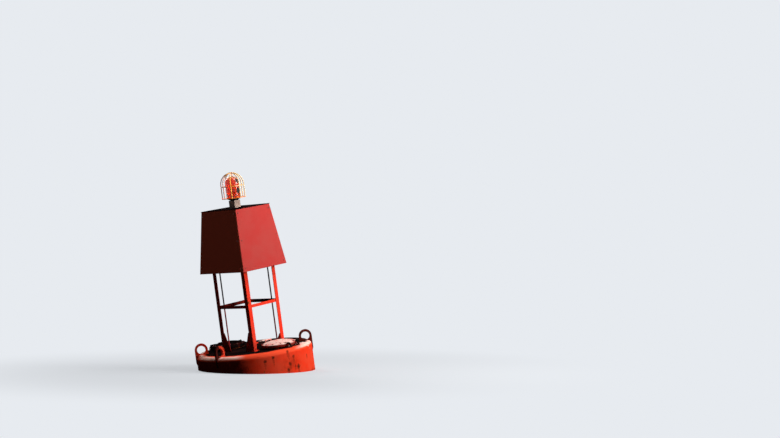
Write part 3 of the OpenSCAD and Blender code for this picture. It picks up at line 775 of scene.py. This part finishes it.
# Rolled edge of a panel: its radius, its steps, how flat it is, how far back it goes, and the panel width
# that its share is taken of.
FOLD_R = 0.007
FOLD_N = 5
FOLD_FLATNESS = 0.4
FOLD_DEPTH_MAX = PANEL_T * 0.93
PANEL_MEAN_W = 0.6
# Bolts of a panel: their size, and how far they stand from its sides and ends and are sunk in its sheet.
PANEL_BOLT = 0.0085
BOLT_IN = 0.036
BOLT_END = 0.05
BOLT_SINK = 0.0012
# Dents in a panel's sheet: how deep they lie on average, and two waves. Each wave has a depth, and how many
# radians it turns across the panel and up it, and starts anywhere in a turn. The dents die out towards the
# panel's edges.
DENT_DEPTH = 0.0009
DENT_WAVES = [(0.0011, 5.1, 4.3), (0.0006, 11, 9)]
DENT_START_MAX = 6.28
DENT_EDGE = 0.05

PANEL_FOOT_HALF = MARK_BOTTOM_HALF - PANEL_EDGE
PANEL_HEAD_HALF = MARK_TOP_HALF - PANEL_EDGE
PANEL_LEAN = math.atan((MARK_BOTTOM_HALF - MARK_TOP_HALF) / (MARK_TOP_Z - MARK_Z))
PANEL_SLOPE = (MARK_TOP_Z - MARK_Z) / math.cos(PANEL_LEAN)


def panel_place(azimuth):
    """Turn from a panel's plane (x across, y up the slope, z outwards) to the buoy."""
    across = Matrix(((0, 0, 1, 0), (1, 0, 0, 0), (0, 1, 0, 0), (0, 0, 0, 1)))
    out = Matrix.Translation((MARK_BOTTOM_HALF, 0, MARK_Z))
    return face_turn(azimuth) @ out @ Matrix.Rotation(-PANEL_LEAN, 4, "Y") @ across


def panel_half(up):
    """Half of a panel's width at a share of its slope."""
    return PANEL_FOOT_HALF + (PANEL_HEAD_HALF - PANEL_FOOT_HALF) * up


def panel_steps(count):
    """Places from 0 to 1, close together at both ends for the rolled edge."""
    fold = FOLD_R / PANEL_MEAN_W
    ends = [fold * (1 - math.cos(math.pi / 2 * i / FOLD_N)) for i in range(FOLD_N + 1)]
    inner = [fold + (1 - 2 * fold) * i / count for i in range(1, count)]
    return ends + inner + [1 - e for e in reversed(ends)]


def sheet_depth(u, v, waves):
    """How far a point of the sheet lies behind its flat face. u is the share across and v the share up."""
    width = 2 * panel_half(v)
    gap = min(u * width, (1 - u) * width, v * PANEL_SLOPE, (1 - v) * PANEL_SLOPE)
    roll = FOLD_R - math.sqrt(max(0.0, FOLD_R ** 2 - max(0.0, FOLD_R - gap) ** 2))
    dent = DENT_DEPTH
    for (depth, turn_u, turn_v), start_u, start_v in waves:
        dent += depth * math.sin(turn_u * u + start_u) * math.sin(turn_v * v + start_v)
    return min(FOLD_DEPTH_MAX, roll * FOLD_FLATNESS) + max(0.0, dent) * min(1.0, gap / DENT_EDGE)


def make_panel(azimuth, materials):
    """Sheet panel with rolled edges and slight dents, in place of its plain plate."""
    place = panel_place(azimuth)
    random.seed(azimuth)
    waves = [
        (wave, random.uniform(0, DENT_START_MAX), random.uniform(0, DENT_START_MAX))
        for wave in DENT_WAVES
    ]
    builder = bmesh.new()
    grid = []
    for v in panel_steps(PANEL_UP_N):
        row = [((2 * u - 1) * panel_half(v), v * PANEL_SLOPE, -sheet_depth(u, v, waves))
               for u in panel_steps(PANEL_ACROSS_N)]
        grid.append([builder.verts.new(place @ Vector(point)) for point in row])
    for lower, upper in zip(grid, grid[1:]):
        for j in range(len(lower) - 1):
            builder.faces.new((lower[j], lower[j + 1], upper[j + 1], upper[j]))
    # the sheet's edge is closed to a flat back
    right_side = [row[-1] for row in grid[1:-1]]
    left_side = [row[0] for row in grid[1:-1]]
    rim = grid[0] + right_side + grid[-1][::-1] + left_side[::-1]
    normal = (place.to_3x3() @ Vector((0, 0, 1))).normalized()
    origin = place @ Vector((0, 0, -PANEL_T))
    back = [builder.verts.new(v.co - normal * (v.co - origin).dot(normal)) for v in rim]
    join_rings(builder, rim, back)
    builder.faces.new(back)
    name = PANEL_NAMES[azimuth]
    piece = add_piece(name + "_sheet", builder, materials["daymark_paint"], "root", 50)
    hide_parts(name)


def make_panel_bolts(materials):
    """Bolts down both sides of each panel."""
    builder = bmesh.new()
    for azimuth in PANEL_NAMES:
        place = panel_place(azimuth)
        for up in (BOLT_END, PANEL_SLOPE / 2, PANEL_SLOPE - BOLT_END):
            half = panel_half(up / PANEL_SLOPE) - BOLT_IN
            for side in (-1, 1):
                spot = Matrix.Translation((side * half, up, -BOLT_SINK))
                add_hex_bolt(builder, place @ spot, PANEL_BOLT)
    add_piece("panel_bolts", builder, materials["bolt_rust"], "root")


# Lantern

# Lens: the height of its straight side, its wall, the chamfer at its foot, the step and the plain stretch at
# the ends of the ribs, and the steps round it and up its dome.
LENS_STRAIGHT = LENS_TOP_Z - LENS_R - LENS_Z
LENS_WALL = 0.005
LENS_EDGE = 0.001
LENS_STEP = 0.0006
LENS_PLAIN = 0.004
LENS_SIDES = 72
DOME_N = 12
# Prism ribs: how far they keep from both ends of the straight side, their pitch and their depth. Those within
# a few pitches of the middle, in front of the lamp, are flatter.
RIB_FROM_FOOT = 0.022
RIB_FROM_TOP = 0.012
RIB_PITCH = 0.0115
RIB_DIP = 0.0032
FLAT_RIB_DIP = 0.0012
FLAT_RIB_REACH = 1.6
# Screws of the head ring: their size, how far they stand out from the lens, where the first is, and how many.
RING_SCREW = 0.0045
RING_SCREW_OUT = 0.007
RING_SCREW_AZIMUTH = 22.5
RING_SCREWS = 6


def lens_outline():
    """Outline of the lens's wall: up its ribbed outside, over the dome and down its smooth inside."""
    first_rib_z = LENS_Z + RIB_FROM_FOOT
    outline = [(LENS_R - LENS_EDGE, LENS_Z), (LENS_R, LENS_Z + 3 * LENS_EDGE)]
    outline.append((LENS_R, first_rib_z - LENS_PLAIN))
    count = int((LENS_STRAIGHT - RIB_FROM_FOOT - RIB_FROM_TOP) / RIB_PITCH)
    for i in range(count):
        base = first_rib_z + i * RIB_PITCH
        flat = abs(i - (count - 1) / 2) < FLAT_RIB_REACH
        dip = FLAT_RIB_DIP if flat else RIB_DIP
        outline += [(LENS_R - dip, base), (LENS_R, base + RIB_PITCH * 0.5)]
        outline.append((LENS_R - dip * 0.6, base + RIB_PITCH * 0.9))
    spring = LENS_Z + LENS_STRAIGHT
    inner = LENS_R - LENS_WALL
    quarter = [math.pi / 2 * k / DOME_N for k in range(DOME_N)]
    outline += [(LENS_R - LENS_STEP, spring - LENS_PLAIN), (LENS_R - LENS_STEP, spring)]
    outline += [(LENS_R * math.cos(a), spring + LENS_R * math.sin(a)) for a in quarter[1:]]
    outline += [(0, spring + LENS_R), (0, spring + inner)]
    outline += [(inner * math.cos(a), spring + inner * math.sin(a)) for a in reversed(quarter)]
    outline += [(inner, LENS_Z + LENS_STRAIGHT * 0.5), (inner, LENS_Z), outline[0]]
    return outline


def make_lens(materials):
    """Domed lens with prism rings round its straight side, in place of its plain shell."""
    builder = bmesh.new()
    add_lathe(builder, lens_outline(), LENS_SIDES)
    bmesh.ops.remove_doubles(builder, verts=builder.verts, dist=1e-6)
    piece = add_piece("lens_ribbed", builder, materials["lens_red"], "lantern_head", 30)
    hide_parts("lens")


def make_ring_screws(materials):
    """Screws on the inner rim of the head ring, close round the lens."""
    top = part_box("head_ring")[1].z
    builder = bmesh.new()
    for a in ring_angles(RING_SCREWS):
        spot = ring_point(LENS_R + RING_SCREW_OUT, a + math.radians(RING_SCREW_AZIMUTH), top)
        add_hex_bolt(builder, Matrix.Translation(spot), RING_SCREW)
    add_piece("head_ring_screws", builder, materials["pin_steel"], "lantern_head")


# Hull and deck details

# Weld beads: their radii, how far in the seams' beads lie, and the steps along them.
BEAD_R = 0.0035
SEAM_BEAD_R = 0.0065
SEAM_BEAD_IN = 0.006
SEAM_AZIMUTHS = (62, 242)
BEAD_POINTS = 150
SEAM_POINTS = 480
SEAM_STEP = 0.009
# Bolts of a lid, square to its dome: their size, how many, their circle's radius, and how deep they are sunk.
LID_BOLT = 0.009
LID_BOLTS = 12
LID_BOLT_R = 0.205
LID_BOLT_SINK = 0.0008
LID_CROWN_R = (LID_R ** 2 + LID_CROWN ** 2) / 2 / LID_CROWN
LID_BOLT_LEAN = math.asin(LID_BOLT_R / LID_CROWN_R)
LID_BOLT_Z = LID_EDGE_Z + LID_CROWN - LID_CROWN_R * (1 - math.cos(LID_BOLT_LEAN)) - LID_BOLT_SINK


def make_welds(materials):
    """Weld beads round the pockets' flanges, and low ones, ground down, along the hull's seams."""
    builder = bmesh.new()
    seam_r = HULL_R - SEAM_BEAD_IN
    for height in (SHOULDER_Z, SEAM_Z):
        seam = circle_points(seam_r, height, SEAM_POINTS)
        add_tube(builder, seam, SEAM_BEAD_R, sides=8, closed=True, ripple=0.05)
    for azimuth in SEAM_AZIMUTHS:
        foot = ring_point(seam_r, math.radians(azimuth), SEAM_Z)
        head = ring_point(seam_r, math.radians(azimuth), SHOULDER_Z)
        seam = line_points(foot, head, SEAM_STEP)
        add_tube(builder, seam, SEAM_BEAD_R, sides=8, closed=False, ripple=0.05)
    for end in POCKET_AZIMUTHS:
        flange = circle_points(POCKET_FLANGE_R, DECK_Z + 0.001, BEAD_POINTS, pocket_centre(end))
        add_tube(builder, flange, BEAD_R, sides=6, closed=True, ripple=0.15)
    add_piece("weld_beads", builder, materials["hull_paint"], "root")


def make_lid_bolts(materials):
    """Bolts round each lid's land, square to its dome, which ride with it."""
    for end, azimuth in POCKET_AZIMUTHS.items():
        builder = bmesh.new()
        for i in range(LID_BOLTS):
            a = math.radians(azimuth) + 2 * math.pi * (i + 0.5) / LID_BOLTS
            spot = pocket_centre(end) + ring_point(LID_BOLT_R, a, LID_BOLT_Z)
            lean = Matrix.Rotation(LID_BOLT_LEAN, 4, Vector((0, 0, 1)).cross(ring_point(1, a)))
            add_hex_bolt(builder, Matrix.Translation(spot) @ lean, LID_BOLT)
        add_piece("lid_" + end + "_bolts", builder, materials["bolt_rust"], end + "_lid")


# Floor

def floor_mesh():
    """Round sheet in the plane of the water, open where the hull stands in it."""
    hole_r = HULL_R - FLOOR_LAP
    builder = bmesh.new()
    grid = []
    for i in range(FLOOR_RINGS + 1):
        radius = hole_r * (FLOOR_R / hole_r) ** (i / FLOOR_RINGS)
        grid.append([builder.verts.new(TO_BUOY @ ring_point(radius, a)) for a in ring_angles(FLOOR_SIDES)])
    for inner, outer in zip(grid, grid[1:]):
        join_rings(builder, outer, inner)
    mesh = bpy.data.meshes.new("floor")
    builder.to_mesh(mesh)
    builder.free()
    return mesh


def floor_pale():
    """Pale floor that takes the backdrop's colour further out."""
    finish = Finish("floor_pale", FLOOR_COLOUR, 0.9, 0.0, 0.05)
    material = finish.done()
    tree = material.node_tree
    backdrop = tree.nodes.new("ShaderNodeEmission")
    backdrop.inputs["Color"].default_value = BACKDROP
    # as a source of bounced light it is as faint as the world
    bounce = tree.nodes.new("ShaderNodeLightPath").outputs["Is Diffuse Ray"]
    tree.links.new(finish.ramp(bounce, 0, 1, 1, AMBIENT), backdrop.inputs["Strength"])
    far = finish.ramp(finish.distance((0, 0, 0)), *FLOOR_FADE, 0.6, 1)
    blend = tree.nodes.new("ShaderNodeMixShader")
    tree.links.new(finish.maths("MAXIMUM", far, finish.ramp(bounce, 0, 1, 0, 0.96)), blend.inputs[0])
    tree.links.new(finish.shader.outputs[0], blend.inputs[1])
    tree.links.new(backdrop.outputs[0], blend.inputs[2])
    output = next(n for n in tree.nodes if n.type == "OUTPUT_MATERIAL")
    tree.links.new(blend.outputs[0], output.inputs["Surface"])
    return material


def make_floor():
    """Floor at the waterline."""
    floor = bpy.data.objects.new("floor", floor_mesh())
    bpy.context.scene.collection.objects.link(floor)
    floor.data.materials.append(floor_pale())


make_camera()
make_world()
for settings in LAMPS:
    make_lamp(*settings)
make_floor()

finishes = {make_finish.__name__: make_finish() for make_finish in FINISHES}
dress_nodes(finishes)
for panel_azimuth in PANEL_NAMES:
    make_panel(panel_azimuth, finishes)
make_panel_bolts(finishes)
make_lens(finishes)
make_ring_screws(finishes)
make_welds(finishes)
make_lid_bolts(finishes)

bpy.context.scene.view_settings.view_transform = "Standard"
